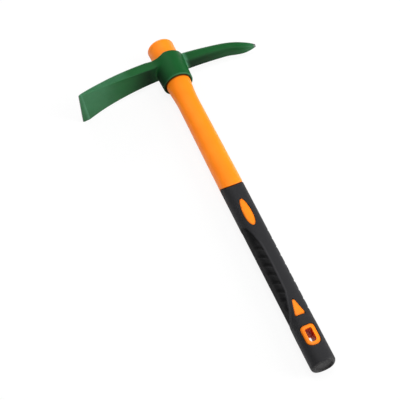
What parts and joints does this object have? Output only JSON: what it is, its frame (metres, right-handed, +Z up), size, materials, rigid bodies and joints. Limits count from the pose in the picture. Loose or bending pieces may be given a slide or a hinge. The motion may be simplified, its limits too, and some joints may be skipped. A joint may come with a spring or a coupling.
{
  "type": "hand pick mattock",
  "caption": "Short hand pick mattock: a painted forged head with a pick and an adze on a jacketed fibreglass handle with a rubber grip and a lanyard hole.",
  "frame": {"origin": "under the middle of the tool's box, on the surface that the tool lies on", "axes": "+Y along the handle to its top end, +X along the pick, +Z up, out of the cheek that lies uppermost"},
  "size_m": [0.1986, 0.403, 0.0443],
  "materials": {
    "head_paint": "satin green paint over forged steel",
    "jacket_plastic": "satin orange plastic",
    "core_fibreglass": "cut end of a pultruded rod",
    "grip_rubber": "matte black rubber"
  },
  "bodies": {
    "handle": {"handle_jacket": "jacket_plastic", "handle_core": "core_fibreglass", "rubber_grip": "grip_rubber"},
    "head": {"pick_head": "head_paint"}
  },
  "joints": [
    {"name": "head_slide", "type": "slide", "parent": "handle", "child": "head", "axis": [0, -1, 0], "range_m": [0, 0.34]}
  ]
}
